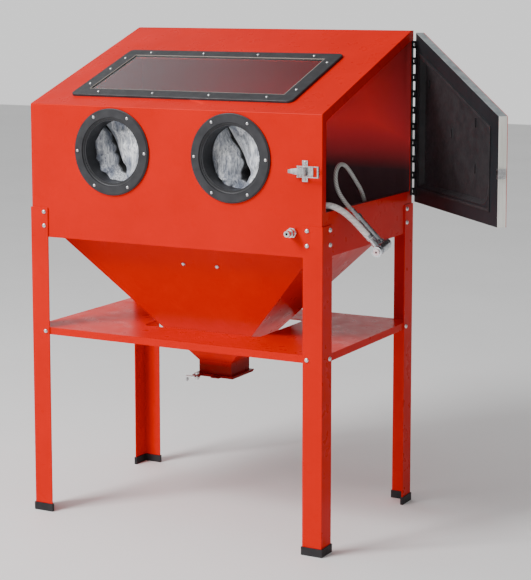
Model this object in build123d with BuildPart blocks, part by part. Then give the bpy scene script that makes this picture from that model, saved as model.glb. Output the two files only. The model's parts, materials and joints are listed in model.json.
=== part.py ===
from build123d import *
import math
import os

# Sandblast cabinet, millimetres. +Z is up, -Y is the front with the glove ports, +X is the door side.
# The origin is on the floor, under the middle of the four legs.

os.makedirs("parts", exist_ok=True)

# Driving dimensions of the cabinet body
BODY_W = 900.0
BODY_D = 572.0
BASE_Z = 785.0
RIM_Z = 799.0
FRONT_TOP_Z = 1154.0
RIDGE_Y = 273.0
RIDGE_Z = 1354.0
SHEET = 2.0
HX = BODY_W / 2
HY = BODY_D / 2
SLOPE = math.atan2(RIDGE_Z - FRONT_TOP_Z, RIDGE_Y + HY)
SLOPE_DROP = SHEET / math.cos(SLOPE)

# Hopper
MOUTH_X = 395.0
MOUTH_Y = 231.0
THROAT = 52.0
THROAT_Z = 428.0
SPOUT_Z = 391.0
COVER_GAP = 0.3

# Stand
LEG_WIDTH = 56.0
LEG_SHEET = 3.0
LEG_TOP_Z = 867.0
CAP_H = 22.0
CAP_FLOOR = 4.0
CAP_WALL = 2.5
SHELF_Z = 530.0
SHELF_LIP = 20.0
BOLT_IN = 44.0
LEG_BOLT_Z = (855.0, 816.5)
SHELF_BOLT_Z = 519.0

# Glove ports
PORT_X = 184.0
PORT_Z = 1031.0
PORT_HOLE_R = 92.0
RING_R = 118.0
RING_BORE_R = 89.0
RING_T = 7.0
RING_SCREW_R = 107.0

# Window, on the sloping panel. Distances along the slope start at the front edge.
WINDOW_X = -12.0
WINDOW_S = 228.0
FRAME_W = 690.0
FRAME_L = 334.0
FRAME_BAR = 42.0
FRAME_T = 7.0
GLASS_W = 640.0
GLASS_L = 282.0
GLASS_T = 3.0

# Door and its hinge. DOOR_OPEN is how far the door stands open.
HINGE_X = 455.0
HINGE_Y = 289.0
DOOR_OPEN = math.radians(45.0)
DOOR_U0 = 8.0
DOOR_U1 = 573.0
DOOR_Z0 = 872.0
DOOR_FREE_TOP_Z = 1152.0
DOOR_HINGE_TOP_Z = 1348.0
DOOR_T = 24.0
OPENING_Y0 = -264.0
OPENING_Y1 = 270.0
SILL_Z = 902.0
OPENING_TOP_GAP = 25.0
LIP_DEPTH = 12.0

# Air line and gun
INLET_X = 367.0
INLET_Z = 848.0
INLET_END_Y = -262.0
GUN_BODY = Vector(550.0, -127.0, 805.0)
GUN_HANDLE_END = Vector(465.0, -149.0, 900.0)
AIR_HOSE_D = 11.0
SUCTION_HOSE_D = 17.0

# Planes that the parts are drawn on
front_plane = Plane.XZ.offset(HY)
slope_plane = Plane(
    origin=(0, -HY, FRONT_TOP_Z),
    x_dir=(1, 0, 0),
    z_dir=(0, -math.sin(SLOPE), math.cos(SLOPE)),
)
door_plane = Plane(
    origin=(HINGE_X, HINGE_Y, 0),
    x_dir=(math.sin(DOOR_OPEN), -math.cos(DOOR_OPEN), 0),
    z_dir=(-math.cos(DOOR_OPEN), -math.sin(DOOR_OPEN), 0),
)


def save(piece, name):
    """Label a finished piece and write its STEP file."""
    piece.part.label = name
    export_step(piece.part, f"parts/{name}.step")
    print(name, len(piece.part.solids()), "solids", round(piece.part.volume / 1000.0, 1), "cm3")


def slope_z(y):
    """Height of the outer surface of the sloping panel at y."""
    return FRONT_TOP_Z + (y + HY) * math.tan(SLOPE)


INNER_FRONT_Z = slope_z(-HY + SHEET) - SLOPE_DROP
INNER_RIDGE_Y = RIDGE_Y + (SLOPE_DROP - SHEET) / math.tan(SLOPE)
SIDE_OUTLINE = [
    (-HY + SHEET, RIM_Z),
    (-HY + SHEET, INNER_FRONT_Z),
    (INNER_RIDGE_Y, RIDGE_Z - SHEET),
    (HY - SHEET, RIDGE_Z - SHEET),
    (HY - SHEET, RIM_Z),
]

# Screw places on the window frame: along its long bars, then up its left and right bars
LONG_BAR_SCREWS = (-263, -88, 88, 263)
LEFT_BAR_SCREWS = (-92, 18, 100)
RIGHT_BAR_SCREWS = (-92, 100)
bar_x = (FRAME_W - FRAME_BAR) / 2
bar_s = (FRAME_L - FRAME_BAR) / 2
FRAME_SCREWS = [(x, side * bar_s) for x in LONG_BAR_SCREWS for side in (-1, 1)]
FRAME_SCREWS += [(-bar_x, s) for s in LEFT_BAR_SCREWS]
FRAME_SCREWS += [(bar_x, s) for s in RIGHT_BAR_SCREWS]
WINDOW_LAP = 7.0
INLET_HOLE_R = 8.3
SCREW_HOLE_R = 2.3
LEG_HOLE_R = 3.3
front_leg_bolts = [(side * (HX + LEG_SHEET - BOLT_IN), z) for side in (-1, 1) for z in LEG_BOLT_Z]
side_leg_bolts = [(side * (HY + LEG_SHEET - BOLT_IN), z) for side in (-1, 1) for z in LEG_BOLT_Z]


# ---------------------------------------------------------------- cabinet body
with BuildPart() as front_top_panel:
    with BuildSketch(Plane.YZ):
        with BuildLine():
            Polyline(
                (-HY, RIM_Z), (-HY, FRONT_TOP_Z), (RIDGE_Y, RIDGE_Z), (HY, RIDGE_Z), (HY, RIDGE_Z - SHEET),
                (INNER_RIDGE_Y, RIDGE_Z - SHEET), (-HY + SHEET, INNER_FRONT_Z), (-HY + SHEET, RIM_Z),
                close=True,
            )
        make_face()
    extrude(amount=HX, both=True)
    front_bend = front_top_panel.edges().filter_by(Axis.X).group_by(Axis.Y)[0].sort_by(Axis.Z)[-1]
    fillet(front_bend, radius=3)
    with BuildSketch(front_plane):
        with Locations((-PORT_X, PORT_Z), (PORT_X, PORT_Z)):
            Circle(PORT_HOLE_R)
            with PolarLocations(RING_SCREW_R, 6):
                Circle(SCREW_HOLE_R)
        with Locations(*front_leg_bolts):
            Circle(LEG_HOLE_R)
        with Locations((INLET_X, INLET_Z)):
            Circle(INLET_HOLE_R)
    extrude(amount=-8, mode=Mode.SUBTRACT)
    with BuildSketch(slope_plane):
        with Locations((WINDOW_X, WINDOW_S)):
            Rectangle(FRAME_W - 2 * (FRAME_BAR + WINDOW_LAP), FRAME_L - 2 * (FRAME_BAR + WINDOW_LAP))
            with Locations(*FRAME_SCREWS):
                Circle(SCREW_HOLE_R)
    extrude(amount=-8, mode=Mode.SUBTRACT)
save(front_top_panel, "front_top_panel")

with BuildPart() as left_side_panel:
    with BuildSketch(Plane.YZ.offset(-HX)):
        with BuildLine():
            Polyline(*SIDE_OUTLINE, close=True)
        make_face()
        with Locations(*side_leg_bolts):
            Circle(LEG_HOLE_R, mode=Mode.SUBTRACT)
    extrude(amount=SHEET)
save(left_side_panel, "left_side_panel")

OPENING_OUTLINE = [
    (OPENING_Y0, SILL_Z),
    (OPENING_Y0, slope_z(OPENING_Y0) - OPENING_TOP_GAP / math.cos(SLOPE)),
    (OPENING_Y1, slope_z(OPENING_Y1) - OPENING_TOP_GAP / math.cos(SLOPE)),
    (OPENING_Y1, SILL_Z),
]

with BuildPart() as right_side_frame:
    with BuildSketch(Plane.YZ.offset(HX - SHEET)):
        with BuildLine():
            Polyline(*SIDE_OUTLINE, close=True)
        make_face()
        with Locations(*side_leg_bolts):
            Circle(LEG_HOLE_R, mode=Mode.SUBTRACT)
    extrude(amount=SHEET)
    # The folded lip round the door opening
    with BuildSketch(Plane.YZ.offset(HX - SHEET - LIP_DEPTH)):
        with BuildLine():
            Polyline(*OPENING_OUTLINE, close=True)
        make_face()
        offset(amount=SHEET, kind=Kind.INTERSECTION)
    extrude(amount=LIP_DEPTH)
    with BuildSketch(Plane.YZ.offset(HX - SHEET - LIP_DEPTH - 5)):
        with BuildLine():
            Polyline(*OPENING_OUTLINE, close=True)
        make_face()
    extrude(amount=LIP_DEPTH + SHEET + 10, mode=Mode.SUBTRACT)
save(right_side_frame, "right_side_frame")

DUST_X = -200.0
DUST_Z = 1085.0
DUST_R = 31.0
DUST_BORE_R = 29.0
DUST_SCREW_R = 44.0
GLAND_X = 300.0
GLAND_Z = 1290.0
rear_plane = Plane(origin=(0, HY, 0), x_dir=(-1, 0, 0), z_dir=(0, 1, 0))

with BuildPart() as rear_panel:
    with BuildSketch(rear_plane):
        with Locations((0, (RIM_Z + RIDGE_Z - SHEET) / 2)):
            Rectangle(BODY_W, RIDGE_Z - SHEET - RIM_Z)
        with Locations(*front_leg_bolts):
            Circle(LEG_HOLE_R, mode=Mode.SUBTRACT)
        with Locations((-DUST_X, DUST_Z)):
            Circle(DUST_BORE_R, mode=Mode.SUBTRACT)
            with PolarLocations(DUST_SCREW_R, 4, start_angle=45):
                Circle(SCREW_HOLE_R, mode=Mode.SUBTRACT)
        with Locations((-GLAND_X, GLAND_Z)):
            Circle(6.3, mode=Mode.SUBTRACT)
    extrude(amount=-SHEET)
save(rear_panel, "rear_panel")

with BuildPart() as base_frame:
    with BuildSketch(Plane.XY.offset(BASE_Z)):
        Rectangle(BODY_W, BODY_D)
        Rectangle(2 * MOUTH_X - 2 * SHEET, 2 * MOUTH_Y - 2 * SHEET, mode=Mode.SUBTRACT)
    extrude(amount=SHEET)
    with BuildSketch(Plane.XY.offset(BASE_Z + SHEET)):
        Rectangle(BODY_W, BODY_D)
        Rectangle(BODY_W - 2 * SHEET, BODY_D - 2 * SHEET, mode=Mode.SUBTRACT)
    extrude(amount=RIM_Z - BASE_Z - SHEET)
save(base_frame, "base_frame")


# ---------------------------------------------------------------- hopper
HIP_X = THROAT - 4.0
HIP_Y = THROAT - 4.0 * (MOUTH_Y - THROAT) / (MOUTH_X - THROAT)
BRACKET_X = 41.0
BRACKET_BOLT_DX = 53.0
BRACKET_Z = 726.0
HOPPER_LEAN = math.atan2(MOUTH_Y - THROAT, BASE_Z - THROAT_Z)


def hopper_front_y(z):
    """Outer surface of the front hopper plate at height z."""
    return -(THROAT + (MOUTH_Y - THROAT) * (z - THROAT_Z) / (BASE_Z - THROAT_Z))


# On the outside of the front plate, with its normal pointing out of the hopper
bracket_plane = Plane(
    origin=(BRACKET_X, hopper_front_y(BRACKET_Z), BRACKET_Z),
    x_dir=(1, 0, 0),
    z_dir=(0, -math.cos(HOPPER_LEAN), -math.sin(HOPPER_LEAN)),
)


def hopper_plate(corners, drilled=False):
    """One sheet of the hopper: the part of the four-sided funnel that stands over the given plan."""
    with BuildPart() as plate:
        with BuildSketch(Plane.XY.offset(BASE_Z)):
            Rectangle(2 * MOUTH_X, 2 * MOUTH_Y)
        with BuildSketch(Plane.XY.offset(THROAT_Z)):
            Rectangle(2 * THROAT, 2 * THROAT)
        loft()
        with BuildSketch(Plane.XY.offset(BASE_Z)):
            Rectangle(2 * (MOUTH_X - SHEET), 2 * (MOUTH_Y - SHEET))
        with BuildSketch(Plane.XY.offset(THROAT_Z)):
            Rectangle(2 * (THROAT - SHEET), 2 * (THROAT - SHEET))
        loft(mode=Mode.SUBTRACT)
        with BuildSketch(Plane.XY.offset(THROAT_Z)):
            Polygon(*corners, align=None)
        extrude(amount=BASE_Z - THROAT_Z, mode=Mode.INTERSECT)
        if drilled:
            with BuildSketch(bracket_plane):
                with Locations((-BRACKET_BOLT_DX, 0), (BRACKET_BOLT_DX, 0)):
                    Circle(LEG_HOLE_R)
            extrude(amount=8, both=True, mode=Mode.SUBTRACT)
    return plate


hopper_front_plate = hopper_plate(
    [(-MOUTH_X, -MOUTH_Y), (MOUTH_X, -MOUTH_Y), (HIP_X, -HIP_Y), (-HIP_X, -HIP_Y)], drilled=True
)
save(hopper_front_plate, "hopper_front_plate")
hopper_rear_plate = hopper_plate([(-HIP_X, HIP_Y), (HIP_X, HIP_Y), (MOUTH_X, MOUTH_Y), (-MOUTH_X, MOUTH_Y)])
save(hopper_rear_plate, "hopper_rear_plate")
hopper_left_plate = hopper_plate(
    [(-MOUTH_X, -MOUTH_Y), (-HIP_X, -HIP_Y), (-HIP_X, HIP_Y), (-MOUTH_X, MOUTH_Y)]
)
save(hopper_left_plate, "hopper_left_plate")
hopper_right_plate = hopper_plate([(HIP_X, -HIP_Y), (MOUTH_X, -MOUTH_Y), (MOUTH_X, MOUTH_Y), (HIP_X, HIP_Y)])
save(hopper_right_plate, "hopper_right_plate")

FLANGE_HALF = 62.0
FLANGE_T = 3.0
COVER_HINGE_Y = 69.0
COVER_HINGE_Z = SPOUT_Z - FLANGE_T
KNUCKLE_R = 4.0
PIN_R = 2.0
PIN_HOLE_R = 2.05
CLIP_X = -45.0
CLIP_Y = -76.0
CLIP_TAB = 24.0

with BuildPart() as hopper_spout:
    with BuildSketch(Plane.XY.offset(COVER_HINGE_Z)):
        Rectangle(2 * THROAT, 2 * THROAT)
        Rectangle(2 * (THROAT - SHEET), 2 * (THROAT - SHEET), mode=Mode.SUBTRACT)
    extrude(amount=THROAT_Z - COVER_HINGE_Z)
    with BuildSketch(Plane.XY.offset(COVER_HINGE_Z)):
        Rectangle(2 * FLANGE_HALF, 2 * FLANGE_HALF)
        Rectangle(2 * (THROAT - SHEET), 2 * (THROAT - SHEET), mode=Mode.SUBTRACT)
        with Locations((CLIP_X, CLIP_Y + 5)):
            Rectangle(CLIP_TAB, CLIP_TAB)
        with Locations((CLIP_X, CLIP_Y)):
            Circle(3.2, mode=Mode.SUBTRACT)
    extrude(amount=FLANGE_T)
    # Two hinge knuckles at the rear, on tabs that stand off the flange
    for side in (-1, 1):
        with BuildSketch(Plane.YZ.offset(side * 30)):
            with Locations((COVER_HINGE_Y, COVER_HINGE_Z)):
                Circle(KNUCKLE_R)
            with Locations((COVER_HINGE_Y - 4, COVER_HINGE_Z + FLANGE_T / 2)):
                Rectangle(8, FLANGE_T)
            with Locations((COVER_HINGE_Y, COVER_HINGE_Z)):
                Circle(PIN_HOLE_R, mode=Mode.SUBTRACT)
        extrude(amount=8, both=True)
save(hopper_spout, "hopper_spout")

COVER_TOP_Z = COVER_HINGE_Z - COVER_GAP
COVER_T = 3.0
LIFT_TAB_X = 10.0
LIFT_TAB_W = 26.0
LIFT_TAB_D = 12.0
with BuildPart() as spout_cover:
    with BuildSketch(Plane.XY.offset(COVER_TOP_Z - COVER_T)):
        with Locations((0, -2)):
            Rectangle(2 * FLANGE_HALF, 2 * FLANGE_HALF - 4)
        with Locations((LIFT_TAB_X, -FLANGE_HALF - 5)):
            Rectangle(LIFT_TAB_W, LIFT_TAB_D)
    extrude(amount=COVER_T)
    with BuildSketch(Plane.YZ):
        with Locations((COVER_HINGE_Y, COVER_HINGE_Z)):
            Circle(KNUCKLE_R)
        with Locations((COVER_HINGE_Y - 6.5, COVER_TOP_Z - COVER_T / 2)):
            Rectangle(9, COVER_T)
        with Locations((COVER_HINGE_Y, COVER_HINGE_Z)):
            Circle(PIN_HOLE_R, mode=Mode.SUBTRACT)
    extrude(amount=21, both=True)
save(spout_cover, "spout_cover")

with BuildPart() as cover_hinge_pin:
    with BuildSketch(Plane.YZ.offset(-40)):
        with Locations((COVER_HINGE_Y, COVER_HINGE_Z)):
            Circle(PIN_R)
    extrude(amount=80)
    with BuildSketch(Plane.YZ.offset(-42)):
        with Locations((COVER_HINGE_Y, COVER_HINGE_Z)):
            Circle(3.4)
    extrude(amount=2)
save(cover_hinge_pin, "cover_hinge_pin")

# A swivel clip on a screw under the flange: turned aside as the cabinet stands, it swings under the cover
CLIP_TOP_Z = COVER_TOP_Z - COVER_T - 0.4
CLIP_LEN = 36.0
CLIP_W = 12.0
CLIP_T = 3.0
with BuildPart() as cover_clip:
    with BuildSketch(Plane.XY.offset(CLIP_TOP_Z - CLIP_T)):
        with Locations((CLIP_X, CLIP_Y)):
            Circle(8)
            with Locations((-CLIP_LEN / 2, 0)):
                Rectangle(CLIP_LEN, CLIP_W)
            Circle(3.05, mode=Mode.SUBTRACT)
    extrude(amount=CLIP_T)
    with BuildSketch(Plane.XY.offset(CLIP_TOP_Z - CLIP_T - CLIP_W)):
        with Locations((CLIP_X - 33, CLIP_Y)):
            Rectangle(CLIP_T, CLIP_W)
    extrude(amount=CLIP_W)
save(cover_clip, "cover_clip")

with BuildPart() as clip_screw:
    with BuildSketch(Plane.XY.offset(CLIP_TOP_Z - 3.2)):
        with Locations((CLIP_X, CLIP_Y)):
            Circle(3)
    extrude(amount=SPOUT_Z + 5.2 - (CLIP_TOP_Z - 3.2))
    with BuildSketch(Plane.XY.offset(CLIP_TOP_Z - 7.2)):
        with Locations((CLIP_X, CLIP_Y)):
            Circle(5.5)
    extrude(amount=4)
    with BuildSketch(Plane.XY.offset(SPOUT_Z)):
        with Locations((CLIP_X, CLIP_Y)):
            RegularPolygon(5.5, 6)
    extrude(amount=5)
save(clip_screw, "clip_screw")


# ---------------------------------------------------------------- stand
LEG_CORNERS = {"front_left": (-1, -1), "front_right": (1, -1), "rear_left": (-1, 1), "rear_right": (1, 1)}
LEG_HX = HX + LEG_SHEET
LEG_HY = HY + LEG_SHEET


def angle_outline(sx, sy, grow=0.0):
    """Plan of an L-shaped leg whose outer corner is at (sx, sy), grown outwards on all sides."""
    outer_x = LEG_HX + grow
    outer_y = LEG_HY + grow
    far_x = LEG_HX - LEG_WIDTH - grow
    far_y = LEG_HY - LEG_WIDTH - grow
    inner_x = LEG_HX - LEG_SHEET - grow
    inner_y = LEG_HY - LEG_SHEET - grow
    points = [
        (outer_x, outer_y), (outer_x, far_y), (inner_x, far_y),
        (inner_x, inner_y), (far_x, inner_y), (far_x, outer_y),
    ]
    return [(sx * x, sy * y) for x, y in points]


for place, (sx, sy) in LEG_CORNERS.items():
    with BuildPart() as leg:
        with BuildSketch(Plane.XY.offset(CAP_FLOOR)):
            with BuildLine():
                Polyline(*angle_outline(sx, sy), close=True)
            make_face()
        extrude(amount=LEG_TOP_Z - CAP_FLOOR)
        with BuildSketch(Plane.XZ.offset(-sy * LEG_HY)):
            with Locations(*[(sx * (LEG_HX - BOLT_IN), z) for z in LEG_BOLT_Z + (SHELF_BOLT_Z,)]):
                Circle(LEG_HOLE_R)
        extrude(amount=LEG_SHEET + 1, both=True, mode=Mode.SUBTRACT)
        with BuildSketch(Plane.YZ.offset(sx * LEG_HX)):
            with Locations(*[(sy * (LEG_HY - BOLT_IN), z) for z in LEG_BOLT_Z + (SHELF_BOLT_Z,)]):
                Circle(LEG_HOLE_R)
        extrude(amount=LEG_SHEET + 1, both=True, mode=Mode.SUBTRACT)
    save(leg, f"leg_{place}")

with BuildPart() as foot_caps:
    for sx, sy in LEG_CORNERS.values():
        with BuildSketch(Plane.XY):
            with BuildLine():
                Polyline(*angle_outline(sx, sy, CAP_WALL), close=True)
            make_face()
        extrude(amount=CAP_H)
        with BuildSketch(Plane.XY.offset(CAP_FLOOR)):
            with BuildLine():
                Polyline(*angle_outline(sx, sy), close=True)
            make_face()
        extrude(amount=CAP_H, mode=Mode.SUBTRACT)
save(foot_caps, "foot_caps")

CUTOUT_X = 185.0
CUTOUT_Y = 138.0
with BuildPart() as shelf:
    with BuildSketch(Plane.XY.offset(SHELF_Z - SHELF_LIP)):
        Rectangle(BODY_W, BODY_D)
    extrude(amount=SHELF_LIP)
    with BuildSketch(Plane.XY.offset(SHELF_Z - SHELF_LIP - 1)):
        Rectangle(BODY_W - 2 * SHEET, BODY_D - 2 * SHEET)
    extrude(amount=SHELF_LIP - SHEET + 1, mode=Mode.SUBTRACT)
    with BuildSketch(Plane.XY.offset(SHELF_Z - 5)) as cutout:
        Rectangle(2 * CUTOUT_X, 2 * CUTOUT_Y)
        chamfer(cutout.vertices(), length=14)
    extrude(amount=10, mode=Mode.SUBTRACT)
    with BuildSketch(Plane.XZ):
        with Locations(*[(side * (LEG_HX - BOLT_IN), SHELF_BOLT_Z) for side in (-1, 1)]):
            Circle(LEG_HOLE_R)
    extrude(amount=HY + 5, both=True, mode=Mode.SUBTRACT)
    with BuildSketch(Plane.YZ):
        with Locations(*[(side * (LEG_HY - BOLT_IN), SHELF_BOLT_Z) for side in (-1, 1)]):
            Circle(LEG_HOLE_R)
    extrude(amount=HX + 5, both=True, mode=Mode.SUBTRACT)
save(shelf, "shelf")


# ---------------------------------------------------------------- fasteners
def bolt_places():
    """Point on the outer leg face, and the outward direction, of every leg and shelf bolt."""
    places = []
    for sx, sy in LEG_CORNERS.values():
        for z in LEG_BOLT_Z + (SHELF_BOLT_Z,):
            places.append(((sx * (LEG_HX - BOLT_IN), sy * LEG_HY, z), (0, sy, 0)))
            places.append(((sx * LEG_HX, sy * (LEG_HY - BOLT_IN), z), (sx, 0, 0)))
    return places


def bolt_shape(head_r, head_h, shank_r, length):
    """A dome-headed bolt along -Z with its head standing on z = 0."""
    with BuildPart() as shape:
        with BuildSketch(Plane.XZ):
            with BuildLine():
                Polyline((0, head_h), (0, -length), (shank_r, -length), (shank_r, 0), (head_r, 0))
                ThreePointArc((head_r, 0), (head_r * 0.85, head_h * 0.6), (head_r * 0.4, head_h))
                Line((head_r * 0.4, head_h), (0, head_h))
            make_face()
        revolve(axis=Axis.Z)
    return shape.part


def copies(shapes, planes):
    """The same solids placed on each plane, all separate."""
    with BuildPart() as group:
        for plane in planes:
            for shape in shapes:
                add(shape.moved(plane.location))
    return group


M6_R = 3.0
M6_NUT_H = 5.0
M6_NUT_R = 5.8
M4_R = 2.0
leg_bolt_planes = [Plane(origin=point, z_dir=out) for point, out in bolt_places()]
with BuildPart() as nut_shape:
    with BuildSketch(Plane.XY.offset(-LEG_SHEET - SHEET - M6_NUT_H)):
        RegularPolygon(M6_NUT_R, 6)
        Circle(M6_R + 0.1, mode=Mode.SUBTRACT)
    extrude(amount=M6_NUT_H)
m6_bolt = bolt_shape(head_r=6.5, head_h=4.2, shank_r=M6_R, length=14)
m4_screw = bolt_shape(head_r=4.4, head_h=2.7, shank_r=M4_R, length=13)
bracket_bolt_planes = [
    Plane(origin=bracket_plane.origin + Vector(dx, 0, 0), x_dir=(1, 0, 0), z_dir=bracket_plane.z_dir)
    for dx in (-BRACKET_BOLT_DX, BRACKET_BOLT_DX)
]
frame_bolts = copies([m6_bolt, nut_shape.part], leg_bolt_planes + bracket_bolt_planes)
save(frame_bolts, "frame_bolts")

ring_screw_planes = []
for side in (-1, 1):
    for i in range(6):
        turn = math.radians(60 * i)
        ring_screw_planes.append(
            Plane(
                origin=(
                    side * PORT_X + RING_SCREW_R * math.cos(turn),
                    -HY - RING_T,
                    PORT_Z + RING_SCREW_R * math.sin(turn),
                ),
                z_dir=(0, -1, 0),
            )
        )

slope_up = slope_plane.y_dir
slope_out = slope_plane.z_dir
frame_screw_planes = []
for x, s in FRAME_SCREWS:
    centre = slope_plane.origin + Vector(WINDOW_X + x, 0, 0) + slope_up * (WINDOW_S + s) + slope_out * FRAME_T
    frame_screw_planes.append(Plane(origin=centre, x_dir=(1, 0, 0), z_dir=slope_out))
dust_screw_planes = []
for i in range(4):
    turn = math.radians(45 + 90 * i)
    spot = (DUST_X + DUST_SCREW_R * math.cos(turn), HY + 2.5, DUST_Z + DUST_SCREW_R * math.sin(turn))
    dust_screw_planes.append(Plane(origin=spot, z_dir=(0, 1, 0)))

panel_screws = copies([m4_screw], ring_screw_planes + frame_screw_planes + dust_screw_planes)
save(panel_screws, "panel_screws")


# ---------------------------------------------------------------- window
with BuildPart() as window_frame:
    with BuildSketch(slope_plane):
        with Locations((WINDOW_X, WINDOW_S)):
            RectangleRounded(FRAME_W, FRAME_L, 16)
            Rectangle(FRAME_W - 2 * FRAME_BAR, FRAME_L - 2 * FRAME_BAR, mode=Mode.SUBTRACT)
    extrude(amount=FRAME_T)
    top_rim = window_frame.faces().sort_by(SortBy.AREA)[-2:].sort_by(Axis.Z)[-1].outer_wire().edges()
    fillet(top_rim, radius=2.5)
    with BuildSketch(slope_plane):
        with Locations((WINDOW_X, WINDOW_S)):
            Rectangle(GLASS_W + 2, GLASS_L + 2)
    extrude(amount=SHEET + GLASS_T, mode=Mode.SUBTRACT)
    with BuildSketch(slope_plane):
        with Locations((WINDOW_X, WINDOW_S)):
            with Locations(*FRAME_SCREWS):
                Circle(SCREW_HOLE_R)
    extrude(amount=FRAME_T, mode=Mode.SUBTRACT)
save(window_frame, "window_frame")

with BuildPart() as window_gasket:
    with BuildSketch(slope_plane):
        with Locations((WINDOW_X, WINDOW_S)):
            Rectangle(GLASS_W, GLASS_L)
            Rectangle(FRAME_W - 2 * FRAME_BAR - 8, FRAME_L - 2 * FRAME_BAR - 8, mode=Mode.SUBTRACT)
    extrude(amount=SHEET)
save(window_gasket, "window_gasket")

with BuildPart() as window_glass:
    with BuildSketch(slope_plane.offset(SHEET)):
        with Locations((WINDOW_X, WINDOW_S)):
            Rectangle(GLASS_W, GLASS_L)
    extrude(amount=GLASS_T)
save(window_glass, "window_glass")


# ---------------------------------------------------------------- glove ports and gloves
TUBE_IN = 54.0
GLOVE_WALL = 3.0


def port_plane(side):
    """Plane through the axis of a port: x is the distance from the axis, y runs into the cabinet."""
    return Plane(origin=(side * PORT_X, 0, PORT_Z), x_dir=(1, 0, 0), z_dir=(0, 0, 1))


RING_ROUND = 3.0
RING_BORE_ROUND = 5.0
TUBE_R = 91.5
TUBE_INNER_R = 85.0
TUBE_BEAD_R = 94.5
CUFF_R = 99.0
PALM_R = 78.0
WRIST_R = 62.0
TIP_R = 46.0
for side, name in ((-1, "left"), (1, "right")):
    port_axis = Axis((side * PORT_X, 0, PORT_Z), (0, 1, 0))
    front_y = -HY
    ring_y = front_y - RING_T
    tube_y = front_y + TUBE_IN
    with BuildPart() as glove_ring:
        with BuildSketch(port_plane(side)):
            with BuildLine():
                Polyline((RING_BORE_R, front_y), (RING_R, front_y), (RING_R, ring_y + RING_ROUND))
                RadiusArc((RING_R, ring_y + RING_ROUND), (RING_R - RING_ROUND, ring_y), -RING_ROUND)
                Line((RING_R - RING_ROUND, ring_y), (RING_BORE_R + RING_BORE_ROUND, ring_y))
                RadiusArc(
                    (RING_BORE_R + RING_BORE_ROUND, ring_y), (RING_BORE_R, ring_y + RING_BORE_ROUND),
                    -RING_BORE_ROUND,
                )
                Line((RING_BORE_R, ring_y + RING_BORE_ROUND), (RING_BORE_R, front_y))
            make_face()
        revolve(axis=port_axis)
        with BuildSketch(front_plane):
            with Locations((side * PORT_X, PORT_Z)):
                with PolarLocations(RING_SCREW_R, 6):
                    Circle(SCREW_HOLE_R)
        extrude(amount=RING_T, mode=Mode.SUBTRACT)
    save(glove_ring, f"glove_ring_{name}")

    with BuildPart() as glove_port:
        with BuildSketch(port_plane(side)):
            with BuildLine():
                Polyline(
                    (TUBE_INNER_R, front_y), (TUBE_R, front_y), (TUBE_R, tube_y - 8),
                    (TUBE_BEAD_R, tube_y - 6), (TUBE_BEAD_R, tube_y), (TUBE_INNER_R + 1, tube_y),
                    (TUBE_INNER_R - 1, tube_y - 4),
                    (TUBE_INNER_R - 1, tube_y - 8), (TUBE_INNER_R, tube_y - 11),
                    close=True,
                )
            make_face()
        revolve(axis=port_axis)
    save(glove_port, f"glove_port_{name}")

    with BuildPart() as glove:
        with BuildSketch(port_plane(side)):
            with BuildLine():
                Polyline(
                    (0, 10), (TIP_R, 10), (WRIST_R, -14), (PALM_R, -90), (CUFF_R, -205), (CUFF_R, -272),
                    (CUFF_R - GLOVE_WALL, -272), (CUFF_R - GLOVE_WALL, -206), (PALM_R - GLOVE_WALL, -89),
                    (WRIST_R - GLOVE_WALL, -13), (TIP_R - 2, 6), (0, 6),
                    close=True,
                )
            make_face()
        revolve(axis=port_axis)
    save(glove, f"glove_{name}")

with BuildPart() as glove_clamps:
    for side in (-1, 1):
        with BuildSketch(Plane.XZ.offset(250)):
            with Locations((side * PORT_X, PORT_Z)):
                Circle(CUFF_R + 1.8)
                Circle(CUFF_R + 0.4, mode=Mode.SUBTRACT)
        extrude(amount=12)
save(glove_clamps, "glove_clamps")


# ---------------------------------------------------------------- inside: grate, lamp, dust port
GRATE_X = 415.0
GRATE_Y = 258.0
GRATE_Z = 790.0
GRATE_T = 5.0
GRATE_PITCH = 33.0
GRATE_HOLE = 28.0
GRATE_COLUMNS = 24
GRATE_ROWS = 15
SUPPORT_X = (-402, -150, 150, 402)
SUPPORT_W = 24.0
SUPPORT_L = 520.0
# The front right corner of the grate is cut away for the hoses
HOSE_CUT_W = 172.0
HOSE_CUT_D = 74.0

with BuildPart() as grate_supports:
    with BuildSketch(Plane.XY.offset(BASE_Z + SHEET)):
        with Locations(*[(x, 0) for x in SUPPORT_X]):
            Rectangle(SUPPORT_W, SUPPORT_L)
    extrude(amount=GRATE_Z - BASE_Z - SHEET)
save(grate_supports, "grate_supports")

with BuildPart() as work_grate:
    with BuildSketch(Plane.XY.offset(GRATE_Z)):
        Rectangle(2 * GRATE_X, 2 * GRATE_Y)
        with GridLocations(GRATE_PITCH, GRATE_PITCH, GRATE_COLUMNS, GRATE_ROWS):
            Rectangle(GRATE_HOLE, GRATE_HOLE, mode=Mode.SUBTRACT)
        with Locations((GRATE_X + 1 - HOSE_CUT_W / 2, -GRATE_Y - 1 + HOSE_CUT_D / 2)):
            Rectangle(HOSE_CUT_W, HOSE_CUT_D, mode=Mode.SUBTRACT)
    extrude(amount=GRATE_T)
save(work_grate, "work_grate")

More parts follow.
